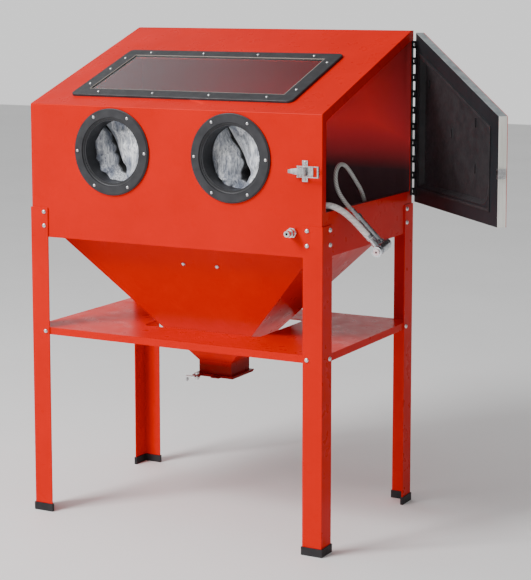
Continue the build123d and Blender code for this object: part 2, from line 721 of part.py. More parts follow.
LAMP_Y = 190.0
LAMP_HALF = 160.0
LAMP_W = 60.0
LAMP_DEPTH = 28.0
LAMP_WALL = 2.0
lamp_plane = Plane(
    origin=slope_plane.origin + slope_up * ((LAMP_Y + HY) / math.cos(SLOPE)) - slope_out * SHEET,
    x_dir=(1, 0, 0),
    z_dir=slope_out * -1,
)
with BuildPart() as lamp_housing:
    with BuildSketch(lamp_plane):
        Rectangle(2 * LAMP_HALF, LAMP_W)
    extrude(amount=LAMP_DEPTH)
    with BuildSketch(lamp_plane.offset(3)):
        Rectangle(2 * (LAMP_HALF - LAMP_WALL), LAMP_W - 2 * LAMP_WALL)
    extrude(amount=LAMP_DEPTH - 2, mode=Mode.SUBTRACT)
save(lamp_housing, "lamp_housing")

with BuildPart() as lamp_lens:
    with BuildSketch(lamp_plane.offset(LAMP_DEPTH - 4)):
        Rectangle(2 * LAMP_HALF - 5, LAMP_W - 5)
    extrude(amount=3)
save(lamp_lens, "lamp_lens")

with BuildPart() as lamp_tube:
    with BuildSketch(Plane(origin=lamp_plane.origin - slope_out * 13, x_dir=slope_up, z_dir=(1, 0, 0))):
        Circle(7)
    extrude(amount=LAMP_HALF - 12, both=True)
    for side in (-1, 1):
        with BuildSketch(lamp_plane.offset(3)):
            with Locations((side * (LAMP_HALF - 12), 0)):
                Rectangle(10, 20)
        extrude(amount=19)
save(lamp_tube, "lamp_tube")

with BuildPart() as cable_gland:
    with BuildSketch(rear_plane):
        with Locations((-GLAND_X, GLAND_Z)):
            RegularPolygon(11, 6)
    extrude(amount=6)
    with BuildSketch(rear_plane.offset(6)):
        with Locations((-GLAND_X, GLAND_Z)):
            Circle(9)
    extrude(amount=10, taper=12)
    with BuildSketch(rear_plane):
        with Locations((-GLAND_X, GLAND_Z)):
            Circle(6)
    extrude(amount=-12)
    with BuildSketch(rear_plane.offset(-14)):
        with Locations((-GLAND_X, GLAND_Z)):
            Circle(3)
    extrude(amount=40, mode=Mode.SUBTRACT)
save(cable_gland, "cable_gland")

with BuildPart() as dust_port:
    with BuildSketch(rear_plane):
        with Locations((-DUST_X, DUST_Z)):
            Circle(52)
            Circle(DUST_BORE_R, mode=Mode.SUBTRACT)
            with PolarLocations(DUST_SCREW_R, 4, start_angle=45):
                Circle(SCREW_HOLE_R, mode=Mode.SUBTRACT)
    extrude(amount=2.5)
    with BuildSketch(rear_plane):
        with Locations((-DUST_X, DUST_Z)):
            Circle(DUST_R)
            Circle(DUST_BORE_R, mode=Mode.SUBTRACT)
    extrude(amount=52)
save(dust_port, "dust_port")


# ---------------------------------------------------------------- pick-up tube in the hopper
PICKUP_R = 8.0
PICKUP_WALL = 1.5
PICKUP_OFF = 12.0
PICKUP_FOOT_Z = 480.0
PICKUP_BEND_Z = 755.0
pickup_foot = Vector(BRACKET_X, hopper_front_y(PICKUP_FOOT_Z) + SHEET + PICKUP_OFF, PICKUP_FOOT_Z)
pickup_bend = Vector(BRACKET_X, hopper_front_y(PICKUP_BEND_Z) + SHEET + PICKUP_OFF, PICKUP_BEND_Z)
pickup_end = Vector(120, -202, 762)
with BuildPart() as pickup_tube:
    with BuildLine():
        FilletPolyline(pickup_foot, pickup_bend, pickup_end, radius=26)
    with BuildSketch(Plane(origin=pickup_foot, z_dir=pickup_bend - pickup_foot)):
        Circle(PICKUP_R)
        Circle(PICKUP_R - PICKUP_WALL, mode=Mode.SUBTRACT)
    sweep()
save(pickup_tube, "pickup_tube")

saddle_plane = Plane(
    origin=bracket_plane.origin - bracket_plane.z_dir * (SHEET * math.cos(HOPPER_LEAN)),
    x_dir=(1, 0, 0),
    z_dir=bracket_plane.y_dir,
)
TUBE_OFF = PICKUP_OFF * math.cos(HOPPER_LEAN)
SADDLE_TOP = TUBE_OFF + PICKUP_R + 2.6
SADDLE_HALF = 66.0
SADDLE_T = 2.0
with BuildPart() as pickup_bracket:
    with BuildSketch(saddle_plane):
        with BuildLine():
            Polyline(
                (-SADDLE_HALF, 0), (-SADDLE_HALF, SADDLE_T), (-16, SADDLE_T), (-11, SADDLE_TOP),
                (11, SADDLE_TOP), (16, SADDLE_T), (SADDLE_HALF, SADDLE_T), (SADDLE_HALF, 0),
            )
            Polyline(
                (-SADDLE_HALF, 0), (-14, 0), (-9, SADDLE_TOP - SADDLE_T),
                (9, SADDLE_TOP - SADDLE_T), (14, 0), (SADDLE_HALF, 0),
            )
        make_face()
    extrude(amount=9, both=True)
    with BuildSketch(bracket_plane):
        with Locations((-BRACKET_BOLT_DX, 0), (BRACKET_BOLT_DX, 0)):
            Circle(LEG_HOLE_R)
    extrude(amount=-12, mode=Mode.SUBTRACT)
save(pickup_bracket, "pickup_bracket")


# ---------------------------------------------------------------- draw latch on the front panel
LATCH_X = 402.0
LATCH_Z = 1008.0
LATCH_PIN_Y = -HY - 10.0
LATCH_BASE_W = 46.0
LATCH_BASE_H = 26.0
EAR_W = 16.0
EAR_SPAN = 55.0
LUG_R = 5.5
LATCH_PIN_R = 2.5
LOOP_PIN_X = LATCH_X - 13.0
LOOP_PIN_Y = LATCH_PIN_Y - 6.0
LEVER_TIP_X = 363.0
LEVER_HALF = 8.2
LUG_IN = 9.0
LUG_OUT = 11.5
ARM_IN = 12.3
ARM_OUT = 14.8
LOOP_END_X = 448.0
EAR_Z = 21.5

with BuildPart() as latch_base:
    with BuildSketch(front_plane):
        with Locations((LATCH_X, LATCH_Z)):
            Rectangle(LATCH_BASE_W, LATCH_BASE_H)
            Rectangle(EAR_W, EAR_SPAN)
    extrude(amount=SHEET)
    for side in (-1, 1):
        with BuildSketch(Plane.XY.offset(LATCH_Z + side * LUG_IN)):
            with Locations((LATCH_X, LATCH_PIN_Y)):
                Circle(LUG_R)
            with Locations((LATCH_X, LATCH_PIN_Y + 4.5)):
                Rectangle(2 * LUG_R, 9)
        extrude(amount=side * (LUG_OUT - LUG_IN))
        with BuildSketch(front_plane.offset(SHEET)):
            with Locations((LATCH_X, LATCH_Z + side * EAR_Z)):
                Circle(4.2)
        extrude(amount=2.4, taper=28)
    with BuildSketch(Plane.XY.offset(LATCH_Z - LUG_OUT)):
        with Locations((LATCH_X, LATCH_PIN_Y)):
            Circle(LATCH_PIN_R)
    extrude(amount=2 * LUG_OUT)
save(latch_base, "latch_base")

with BuildPart() as latch_lever:
    with BuildSketch(Plane.XY.offset(LATCH_Z - LEVER_HALF)):
        with BuildLine():
            Polyline(
                (LATCH_X, LATCH_PIN_Y - LUG_R), (LOOP_PIN_X, LOOP_PIN_Y - 3.6),
                (LEVER_TIP_X + 6, LOOP_PIN_Y - 3.2),
                (LEVER_TIP_X, LOOP_PIN_Y - 6), (LEVER_TIP_X, LOOP_PIN_Y - 3), (LEVER_TIP_X + 6, LOOP_PIN_Y),
                (LOOP_PIN_X - 4, LOOP_PIN_Y + 2.5), (LATCH_X - 5, LATCH_PIN_Y + 2),
                close=True,
            )
        make_face()
        with Locations((LATCH_X, LATCH_PIN_Y)):
            Circle(LUG_R)
            Circle(LATCH_PIN_R + 0.06, mode=Mode.SUBTRACT)
    extrude(amount=2 * LEVER_HALF)
    # The grip narrows towards its tip
    with BuildSketch(front_plane.offset(4)):
        for side in (-1, 1):
            with BuildLine():
                Polyline(
                    (LEVER_TIP_X - 2, LATCH_Z + side * 4.2), (LOOP_PIN_X - 6, LATCH_Z + side * LEVER_HALF),
                    (LOOP_PIN_X - 6, LATCH_Z + side * 12), (LEVER_TIP_X - 2, LATCH_Z + side * 12),
                    close=True,
                )
            make_face()
    extrude(amount=30, mode=Mode.SUBTRACT)
    with BuildSketch(Plane.XY.offset(LATCH_Z - ARM_OUT - 1)):
        with Locations((LOOP_PIN_X, LOOP_PIN_Y)):
            Circle(PIN_R)
    extrude(amount=2 * ARM_OUT + 2)
save(latch_lever, "latch_lever")

with BuildPart() as latch_loop:
    for side in (-1, 1):
        with BuildSketch(Plane.XY.offset(LATCH_Z + side * ARM_IN)):
            with Locations((LOOP_PIN_X, LOOP_PIN_Y)):
                Circle(4)
            with Locations(((LOOP_PIN_X + LOOP_END_X) / 2, LOOP_PIN_Y)):
                Rectangle(LOOP_END_X - LOOP_PIN_X, 3.6)
            with Locations((LOOP_PIN_X, LOOP_PIN_Y)):
                Circle(PIN_HOLE_R, mode=Mode.SUBTRACT)
        extrude(amount=side * (ARM_OUT - ARM_IN))
    with BuildSketch(Plane.XY.offset(LATCH_Z - ARM_OUT)):
        with Locations((LOOP_END_X - 2, LOOP_PIN_Y + 1)):
            Rectangle(4, 6)
    extrude(amount=2 * ARM_OUT)
save(latch_loop, "latch_loop")


# ---------------------------------------------------------------- door
DOOR_FALL = (DOOR_HINGE_TOP_Z - DOOR_FREE_TOP_Z) / (DOOR_U1 - DOOR_U0)
DOOR_LEAN = math.atan(DOOR_FALL)
SKIN_T = 1.5
BORDER_HINGE = 30.0
BORDER_BOTTOM = 46.0
BORDER_FREE = 60.0
BORDER_TOP = 54.0
TRAY_DEPTH = 17.0
TRAY_SLOPE = 34.0
TRAY_STEP = 8.0
TRAY_T = 1.5
TRAY_CORNER_R = 40.0
LINER_BUTTONS = ((72, 1207), (61, 1004), (233, 1085), (393, 1124), (393, 1004))
INNER_W = 2.0
OUTER_W = INNER_W - DOOR_T


def door_outline(hinge, bottom, free, top):
    """Corners of the door's outline in the door plane, drawn in by a margin on each side."""
    u0 = DOOR_U0 + hinge
    u1 = DOOR_U1 - free
    v0 = DOOR_Z0 + bottom
    tops = [DOOR_HINGE_TOP_Z - (u - DOOR_U0) * DOOR_FALL - top / math.cos(DOOR_LEAN) for u in (u1, u0)]
    return [(u0, v0), (u1, v0), (u1, tops[0]), (u0, tops[1])]


def tray_corners(inset, slope_side, step):
    """Corners of the recess in the inner face."""
    margins = (BORDER_HINGE + step, BORDER_BOTTOM + step, BORDER_FREE + slope_side, BORDER_TOP + step)
    return door_outline(*[margin + inset for margin in margins])


with BuildPart() as door_skin:
    with BuildSketch(door_plane.offset(OUTER_W)):
        Polygon(*door_outline(0, 0, 0, 0), align=None)
    extrude(amount=SKIN_T)
save(door_skin, "door_skin")

with BuildPart() as door_frame:
    with BuildSketch(door_plane.offset(OUTER_W + SKIN_T)):
        Polygon(*door_outline(0, 0, 0, 0), align=None)
    extrude(amount=DOOR_T - SKIN_T)
    with BuildSketch(door_plane.offset(OUTER_W + SKIN_T)):
        Polygon(*door_outline(SHEET, SHEET, SHEET, SHEET), align=None)
    extrude(amount=DOOR_T - SKIN_T - SHEET, mode=Mode.SUBTRACT)
    with BuildSketch(door_plane) as recess:
        Polygon(*tray_corners(0, 0, 0), align=None)
        fillet(recess.vertices().sort_by(Axis.Y)[:2].sort_by(Axis.X)[-1], radius=TRAY_CORNER_R)
    extrude(amount=INNER_W, mode=Mode.SUBTRACT)
save(door_frame, "door_frame")


def tray_solid(inset, lift):
    """The recess as a block: its mouth at the border and its floor TRAY_DEPTH further out."""
    with BuildPart() as block:
        with BuildSketch(door_plane.offset(INNER_W)) as mouth:
            Polygon(*tray_corners(inset, 0, 0), align=None)
            fillet(mouth.vertices().sort_by(Axis.Y)[:2].sort_by(Axis.X)[-1], radius=TRAY_CORNER_R)
        with BuildSketch(door_plane.offset(INNER_W - TRAY_DEPTH + lift)) as floor:
            Polygon(*tray_corners(inset, TRAY_SLOPE, TRAY_STEP), align=None)
            fillet(floor.vertices().sort_by(Axis.Y)[:2].sort_by(Axis.X)[-1], radius=TRAY_CORNER_R)
        loft()
    return block.part


with BuildPart() as door_liner:
    add(tray_solid(0.3, 0))
    add(tray_solid(0.3 + TRAY_T, TRAY_T), mode=Mode.SUBTRACT)
    # Buttons that hold the rubber lining
    with BuildSketch(door_plane.offset(INNER_W - TRAY_DEPTH + TRAY_T - 0.5)):
        with Locations(*LINER_BUTTONS):
            RectangleRounded(9, 24, 3)
    extrude(amount=3.5)
save(door_liner, "door_liner")

with BuildPart() as door_gasket:
    with BuildSketch(door_plane.offset(INNER_W)):
        Polygon(
            *door_outline(BORDER_HINGE - 10, BORDER_BOTTOM - 12, BORDER_FREE - 12, BORDER_TOP - 12),
            align=None,
        )
        Polygon(
            *door_outline(BORDER_HINGE - 3, BORDER_BOTTOM - 4, BORDER_FREE - 4, BORDER_TOP - 4),
            align=None, mode=Mode.SUBTRACT,
        )
    extrude(amount=2.8)
save(door_gasket, "door_gasket")

KEEPER_Z = LATCH_Z
KEEPER_H = 26.0
KEEPER_HOOK = 7.0
free_edge_plane = Plane(
    origin=door_plane.origin + door_plane.x_dir * DOOR_U1 + Vector(0, 0, KEEPER_Z),
    x_dir=door_plane.z_dir,
    z_dir=door_plane.x_dir,
)
with BuildPart() as door_keeper:
    with BuildSketch(free_edge_plane):
        with Locations((-8, 0)):
            Rectangle(16, KEEPER_H)
    extrude(amount=2.3)
    with BuildSketch(free_edge_plane.offset(2.3)):
        with Locations((-4, 0)):
            Rectangle(24, KEEPER_H)
    extrude(amount=2)
    with BuildSketch(free_edge_plane.offset(4.3)):
        with Locations((7, 0)):
            Rectangle(2, KEEPER_H)
    extrude(amount=KEEPER_HOOK)
save(door_keeper, "door_keeper")

# Hinge: ten short knuckle groups on one axis, with open gaps between them
HINGE_Z0 = 890.0
HINGE_PITCH = 46.0
HINGE_GROUPS = 10
GROUP_LEN = 21.0
HINGE_TOP_Z = HINGE_Z0 + HINGE_PITCH * (HINGE_GROUPS - 1) + GROUP_LEN
LEAF_T = 1.5
KNUCKLE_BAND = 6.6
HINGE_STARTS = [HINGE_Z0 + HINGE_PITCH * i for i in range(HINGE_GROUPS)]

with BuildPart() as cabinet_hinge_leaf:
    with BuildSketch(Plane.XY.offset(HINGE_Z0)):
        with Locations((HX + LEAF_T / 2, 278.5)):
            Rectangle(LEAF_T, 12)
    extrude(amount=HINGE_TOP_Z - HINGE_Z0)
    for start in HINGE_STARTS:
        for band in (start, start + GROUP_LEN - KNUCKLE_BAND):
            with BuildSketch(Plane.XY.offset(band)):
                with Locations((HX + LEAF_T / 2, (284 + HINGE_Y) / 2)):
                    Rectangle(LEAF_T, HINGE_Y - 284)
                with Locations((HINGE_X, HINGE_Y)):
                    Circle(KNUCKLE_R + 0.3)
                    Circle(PIN_HOLE_R, mode=Mode.SUBTRACT)
            extrude(amount=KNUCKLE_BAND)
save(cabinet_hinge_leaf, "cabinet_hinge_leaf")

knuckle_plane = Plane(
    origin=door_plane.origin,
    x_dir=door_plane.x_dir,
    z_dir=(0, 0, 1),
)
# knuckle_plane's y runs away from the cabinet side of the door, so inner faces have negative y
with BuildPart() as door_hinge_leaf:
    with BuildSketch(knuckle_plane.offset(HINGE_Z0)):
        with Locations((17.5, -(INNER_W + LEAF_T / 2))):
            Rectangle(17, LEAF_T)
    extrude(amount=HINGE_TOP_Z - HINGE_Z0)
    for start in HINGE_STARTS:
        with BuildSketch(knuckle_plane.offset(start + KNUCKLE_BAND + 0.4)):
            with Locations((4.5, -(INNER_W + LEAF_T / 2))):
                Rectangle(9, LEAF_T)
            Circle(KNUCKLE_R)
            Circle(PIN_HOLE_R, mode=Mode.SUBTRACT)
        extrude(amount=GROUP_LEN - 2 * KNUCKLE_BAND - 0.8)
save(door_hinge_leaf, "door_hinge_leaf")

with BuildPart() as hinge_pins:
    for start in HINGE_STARTS:
        with BuildSketch(Plane.XY.offset(start)):
            with Locations((HINGE_X, HINGE_Y)):
                Circle(PIN_R)
        extrude(amount=21)
save(hinge_pins, "hinge_pins")


# ---------------------------------------------------------------- air inlet
# Outside: hexagon, collar and plug. Inside: shank through the panel, hose tail and lock nut.
INLET_HEX_R = 14.0
INLET_HEX_T = 8.0
INLET_COLLAR_R = 11.0
INLET_PLUG_R = 8.3
INLET_PLUG_Y0 = 20.0
INLET_PLUG_LEN = 16.0
INLET_SHANK_R = 8.0
INLET_TAIL_R = 5.0
INLET_BORE_R = 3.5

with BuildPart() as air_inlet:
    with BuildSketch(front_plane):
        with Locations((INLET_X, INLET_Z)):
            RegularPolygon(INLET_HEX_R, 6)
    extrude(amount=INLET_HEX_T)
    with BuildSketch(front_plane):
        with Locations((INLET_X, INLET_Z)):
            Circle(INLET_COLLAR_R)
    extrude(amount=INLET_PLUG_Y0)
    with BuildSketch(front_plane.offset(INLET_PLUG_Y0)):
        with Locations((INLET_X, INLET_Z)):
            Circle(INLET_PLUG_R)
    extrude(amount=INLET_PLUG_LEN)
    with BuildSketch(front_plane):
        with Locations((INLET_X, INLET_Z)):
            Circle(INLET_SHANK_R)
    extrude(amount=-18)
    with BuildSketch(front_plane):
        with Locations((INLET_X, INLET_Z)):
            Circle(INLET_TAIL_R)
    extrude(amount=-HY - INLET_END_Y)
    with BuildSketch(front_plane.offset(-HY - INLET_END_Y)):
        with Locations((INLET_X, INLET_Z)):
            Circle(INLET_BORE_R)
    extrude(amount=HY + INLET_END_Y + INLET_PLUG_Y0 + INLET_PLUG_LEN, mode=Mode.SUBTRACT)
    with BuildSketch(front_plane.offset(-10)):
        with Locations((INLET_X, INLET_Z)):
            RegularPolygon(12, 6)
            Circle(8.2, mode=Mode.SUBTRACT)
    extrude(amount=8)
save(air_inlet, "air_inlet")


# ---------------------------------------------------------------- blast gun
gun_h = (GUN_HANDLE_END - GUN_BODY).normalized()
nozzle_guess = Vector(0.12, -0.98, -0.17)
gun_n = (nozzle_guess - gun_h * nozzle_guess.dot(gun_h)).normalized()
gun_t = gun_h.cross(gun_n)
barrel_plane = Plane(origin=GUN_BODY, x_dir=gun_h, z_dir=gun_n)
handle_plane = Plane(origin=GUN_BODY, x_dir=gun_n, z_dir=gun_h)
gun_side_plane = Plane(origin=GUN_BODY, x_dir=gun_h, z_dir=gun_t)
HANDLE_LEN = (GUN_HANDLE_END - GUN_BODY).length
HANDLE_R = 9.0
FERRULE_LEN = 22.0
MEDIA_N = 32.0
MEDIA_H = 34.0
TRIGGER_PIVOT_H = 19.0
TRIGGER_PIVOT_N = 15.0
NOSE_N = 48.0

with BuildPart() as gun_body:
    with BuildSketch(barrel_plane.offset(-24)):
        Circle(14)
    extrude(amount=64)
    with BuildSketch(barrel_plane.offset(-28)):
        Circle(11)
    extrude(amount=4)
    with BuildSketch(barrel_plane.offset(40)):
        Circle(11)
    extrude(amount=NOSE_N - 40)
    with BuildSketch(handle_plane):
        Circle(HANDLE_R)
    extrude(amount=HANDLE_LEN - FERRULE_LEN)
    with BuildSketch(handle_plane.offset(HANDLE_LEN - FERRULE_LEN - 12)):
        RegularPolygon(11, 6)
    extrude(amount=12)
    with BuildSketch(handle_plane.offset(12)):
        Circle(12)
    extrude(amount=5)
    with BuildSketch(handle_plane):
        with Locations((MEDIA_N, 0)):
            Circle(7)
    extrude(amount=MEDIA_H)
    with BuildSketch(handle_plane):
        with Locations((MEDIA_N, 0)):
            Circle(8.5)
    extrude(amount=MEDIA_H - 10)
    for side in (-1, 1):
        with BuildSketch(gun_side_plane.offset(side * 6)):
            with Locations((TRIGGER_PIVOT_H, TRIGGER_PIVOT_N)):
                Circle(3.6)
            with Locations((TRIGGER_PIVOT_H - 4, TRIGGER_PIVOT_N - 3)):
                Rectangle(10, 9)
            with Locations((TRIGGER_PIVOT_H, TRIGGER_PIVOT_N)):
                Circle(1.55, mode=Mode.SUBTRACT)
        extrude(amount=side * 2)
    with BuildSketch(gun_side_plane):
        with Locations((TRIGGER_PIVOT_H, TRIGGER_PIVOT_N)):
            Circle(1.55)
    extrude(amount=8, both=True)
save(gun_body, "gun_body")

TRIGGER_LEN = 72.0
with BuildPart() as gun_trigger:
    with BuildSketch(gun_side_plane.offset(-5.4)):
        with Locations((TRIGGER_PIVOT_H, TRIGGER_PIVOT_N)):
            Circle(3)
        with Locations((TRIGGER_PIVOT_H + TRIGGER_LEN / 2, TRIGGER_PIVOT_N + 1.2)):
            Rectangle(TRIGGER_LEN, 2)
        with Locations((TRIGGER_PIVOT_H, TRIGGER_PIVOT_N)):
            Circle(1.6, mode=Mode.SUBTRACT)
    extrude(amount=10.8)
save(gun_trigger, "gun_trigger")

with BuildPart() as gun_nozzle:
    with BuildSketch(barrel_plane.offset(NOSE_N)):
        Circle(8.5)
        Circle(3.2, mode=Mode.SUBTRACT)
    extrude(amount=13)
save(gun_nozzle, "gun_nozzle")

with BuildPart() as nozzle_nut:
    with BuildSketch(barrel_plane.offset(NOSE_N)):
        Circle(14)
        Circle(8.7, mode=Mode.SUBTRACT)
    extrude(amount=9)
save(nozzle_nut, "nozzle_nut")

SUCTION_R = SUCTION_HOSE_D / 2
with BuildPart() as hose_ferrules:
    with BuildSketch(handle_plane.offset(HANDLE_LEN - FERRULE_LEN)):
        Circle(7.5)
    extrude(amount=FERRULE_LEN)
    with BuildSketch(handle_plane.offset(MEDIA_H + 3)):
        with Locations((MEDIA_N, 0)):
            Circle(SUCTION_R + 1.6)
            Circle(SUCTION_R + 0.3, mode=Mode.SUBTRACT)
    extrude(amount=9)
save(hose_ferrules, "hose_ferrules")


# ---------------------------------------------------------------- hoses
def arc_radii(points):
    """Radius of each corner of a route: 0.45 of the shorter run, over the tangent of half the turn."""
    radii = []
    for before, here, after in zip(points, points[1:], points[2:]):
        run_in = here - before
        run_out = after - here
        half_turn = math.radians(run_in.get_angle(run_out)) / 2
        radii.append(0.45 * min(run_in.length, run_out.length) / math.tan(half_turn))
    return radii


def make_hose(points, diameter, name):
    """A plain tube along straight runs joined by tangent arcs."""
    radii = arc_radii(points)
    with BuildPart() as hose:
        with BuildLine():
            path = FilletPolyline(*points, radius=radii)
        with BuildSketch(Plane(origin=points[0], z_dir=points[1] - points[0])):
            Circle(diameter / 2)
        sweep()
    save(hose, name)
    expected = math.pi * diameter**2 / 4 * path.length
    print(name, "length", round(path.length), "volume ratio", round(hose.part.volume / expected, 4))
    runs = [round((b - a).length) for a, b in zip(points, points[1:])]
    print(name, "radii", [round(r) for r in radii], "runs", runs)


air_route = [
    GUN_HANDLE_END,
    GUN_HANDLE_END + gun_h * 30,
    Vector(435, -170, 953),
    Vector(431, -172, 982),
    Vector(428, -158, 1004),
    Vector(426, -132, 1014),
    Vector(425, -102, 1009),
    Vector(424, -70, 990),
    Vector(424, -28, 957),
    Vector(424, 5, 929),
    Vector(424, 29, 893),
    Vector(424, 29, 853),
    Vector(421, 5, 824),
    Vector(414, -38, 812),
    Vector(402, -88, 809),
    Vector(388, -140, 813),
    Vector(378, -182, 825),
    Vector(370, -213, 840),
    Vector(INLET_X, -238, INLET_Z),
    Vector(INLET_X, INLET_END_Y, INLET_Z),
]
make_hose(air_route, AIR_HOSE_D, "air_hose")

media_end = GUN_BODY + gun_n * MEDIA_N + gun_h * MEDIA_H
suction_route = [
    media_end,
    media_end + gun_h * 36,
    Vector(489, -184, 876),
    Vector(470, -204, 900),
    Vector(447, -223, 915.5),
    Vector(421, -236, 916),
    Vector(393, -241, 901),
    Vector(367, -236, 879),
    Vector(345, -226, 853),
    Vector(325, -214, 826),
    Vector(299, -203, 800),
    Vector(263, -199, 781),
    Vector(220, -201, 770),
    pickup_end + (pickup_end - pickup_bend).normalized() * 48,
    pickup_end,
]
make_hose(suction_route, SUCTION_HOSE_D, "suction_hose")
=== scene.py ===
import json
import math

import bmesh
import bpy
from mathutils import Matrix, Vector, noise


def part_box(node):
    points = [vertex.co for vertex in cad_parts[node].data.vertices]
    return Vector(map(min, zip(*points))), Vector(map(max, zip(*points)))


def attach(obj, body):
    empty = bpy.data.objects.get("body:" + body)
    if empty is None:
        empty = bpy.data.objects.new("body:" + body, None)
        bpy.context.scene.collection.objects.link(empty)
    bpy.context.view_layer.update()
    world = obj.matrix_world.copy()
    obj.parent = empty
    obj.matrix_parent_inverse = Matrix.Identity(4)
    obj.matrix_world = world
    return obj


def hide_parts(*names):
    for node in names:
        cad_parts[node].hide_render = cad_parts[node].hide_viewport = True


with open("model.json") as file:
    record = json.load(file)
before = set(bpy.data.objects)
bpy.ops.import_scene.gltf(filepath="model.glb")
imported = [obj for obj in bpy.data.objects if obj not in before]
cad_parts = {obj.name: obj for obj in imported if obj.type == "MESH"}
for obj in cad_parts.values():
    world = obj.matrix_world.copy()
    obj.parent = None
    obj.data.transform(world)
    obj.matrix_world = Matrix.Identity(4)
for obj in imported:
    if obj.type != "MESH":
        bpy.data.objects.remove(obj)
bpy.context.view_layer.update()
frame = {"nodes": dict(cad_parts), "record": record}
nodes = frame["nodes"]
MM = 0.001


# ------------------------------------------------------------------ camera
camera_data = bpy.data.cameras.new("camera")
camera = bpy.data.objects.new("camera", camera_data)
bpy.context.scene.collection.objects.link(camera)
bpy.context.scene.camera = camera
camera.location = (2.3397, -4.0909, 1.4539)
TILT_DOWN = 7.044
ROLL = -0.078
TURN = 27.625
camera.rotation_euler = (math.radians(90 - TILT_DOWN), math.radians(ROLL), math.radians(TURN))
camera_data.sensor_width = 36
camera_data.lens = 104.81
camera_data.shift_x = -0.0368
camera_data.shift_y = -0.15
camera_data.clip_end = 100


# ------------------------------------------------------------------ materials
def material(name, color, rough, metallic=0.0, **sockets):
    """A Principled material with its constants set straight on the shader."""
    made = bpy.data.materials.new(name)
    made.use_nodes = True
    shader = made.node_tree.nodes["Principled BSDF"]
    shader.inputs["Base Color"].default_value = (*color[:3], 1.0)
    shader.inputs["Roughness"].default_value = rough
    shader.inputs["Metallic"].default_value = metallic
    for key, value in sockets.items():
        shader.inputs[key.replace("_", " ")].default_value = value
    return made


def place(made, source="Object"):
    """The coordinate output that this material's textures use."""
    found = [n for n in made.node_tree.nodes if n.bl_idname == "ShaderNodeTexCoord"]
    node = found[0] if found else made.node_tree.nodes.new("ShaderNodeTexCoord")
    return node.outputs[source]


def noise_node(made, scale, detail=3.0, rough=0.5, stretch=(1, 1, 1), source="Object", distortion=0.0):
    """Noise in metres: scale is in features per metre."""
    tree = made.node_tree
    mapping = tree.nodes.new("ShaderNodeMapping")
    mapping.inputs["Scale"].default_value = stretch
    tree.links.new(place(made, source), mapping.inputs["Vector"])
    texture = tree.nodes.new("ShaderNodeTexNoise")
    texture.inputs["Scale"].default_value = scale
    texture.inputs["Detail"].default_value = detail
    texture.inputs["Roughness"].default_value = rough
    texture.inputs["Distortion"].default_value = distortion
    tree.links.new(mapping.outputs["Vector"], texture.inputs["Vector"])
    return texture.outputs["Fac"]


def ramp(made, value, low, high, start=0.3, end=0.7):
    """A colour between low and high as value runs from start to end."""
    node = made.node_tree.nodes.new("ShaderNodeValToRGB")
    node.color_ramp.elements[0].position = start
    node.color_ramp.elements[0].color = (*low, 1)
    node.color_ramp.elements[1].position = end
    node.color_ramp.elements[1].color = (*high, 1)
    made.node_tree.links.new(value, node.inputs["Fac"])
    return node.outputs["Color"]


def spread(made, value, low, high, start=0.3, end=0.7):
    """A number between low and high as value runs from start to end."""
    node = made.node_tree.nodes.new("ShaderNodeMapRange")
    node.inputs["From Min"].default_value = start
    node.inputs["From Max"].default_value = end
    node.inputs["To Min"].default_value = low
    node.inputs["To Max"].default_value = high
    made.node_tree.links.new(value, node.inputs["Value"])
    return node.outputs["Result"]


def feed(made, socket, value):
    """Give a socket a number, a colour or another node's output."""
    if isinstance(value, (int, float)):
        socket.default_value = value
    elif isinstance(value, tuple):
        socket.default_value = (*value, 1)
    else:
        made.node_tree.links.new(value, socket)


def rgba(sockets):
    """The colour sockets among a mix node's."""
    return [s for s in sockets if s.type == "RGBA"]


def shade(made, key, output):
    """Feed a shader socket."""
    made.node_tree.links.new(output, made.node_tree.nodes["Principled BSDF"].inputs[key])


def bump(made, *layers):
    """Bump from (height, strength, distance in metres) layers, one over another."""
    normal = None
    for height, strength, distance in layers:
        node = made.node_tree.nodes.new("ShaderNodeBump")
        node.inputs["Strength"].default_value = strength
        node.inputs["Distance"].default_value = distance
        made.node_tree.links.new(height, node.inputs["Height"])
        if normal is not None:
            made.node_tree.links.new(normal, node.inputs["Normal"])
        normal = node.outputs["Normal"]
    shade(made, "Normal", normal)


def tint(color, factor):
    """A colour made lighter or darker."""
    return tuple(min(1.0, c * factor) for c in color)


def paint(name, color, rough=0.3, specular=0.06, peel=0.1):
    """Powder coat: slight orange peel, patchy gloss and a little unevenness in colour."""
    made = material(name, color, rough, Specular_IOR_Level=specular)
    shade(made, "Base Color", ramp(made, noise_node(made, 6, 4), tint(color, 0.93), tint(color, 1.05)))
    shade(made, "Roughness", spread(made, noise_node(made, 25, 3), rough - 0.05, rough + 0.07))
    bump(made, (noise_node(made, 420, 2), peel, 0.0004), (noise_node(made, 3.5, 1), 0.12, 0.004))
    return made


def math_node(made, operation, a, b=None):
    """One math node; a and b are outputs or numbers."""
    node = made.node_tree.nodes.new("ShaderNodeMath")
    node.operation = operation
    for socket, value in zip(node.inputs, (a, b)):
        if value is not None:
            feed(made, socket, value)
    return node.outputs["Value"]


def along(made, direction, source="Object"):
    """How far a point lies along a direction, in metres in the row frame."""
    node = made.node_tree.nodes.new("ShaderNodeVectorMath")
    node.operation = "DOT_PRODUCT"
    node.inputs[1].default_value = direction
    made.node_tree.links.new(place(made, source), node.inputs[0])
    return node.outputs["Value"]


def mix(made, factor, a, b, blend="MIX"):
    """Colour a where factor is 0 and b, or a blended with b, where it is 1."""
    node = made.node_tree.nodes.new("ShaderNodeMix")
    node.data_type = "RGBA"
    node.blend_type = blend
    feed(made, node.inputs["Factor"], factor)
    for socket, value in zip(rgba(node.inputs), (a, b)):
        feed(made, socket, value)
    return rgba(node.outputs)[0]


RED = (0.62, 0.0055, 0.0003)
DARK = (0.014, 0.0155, 0.018)
slots = {}
red = paint("red_paint", RED)
slots["red_paint"] = red

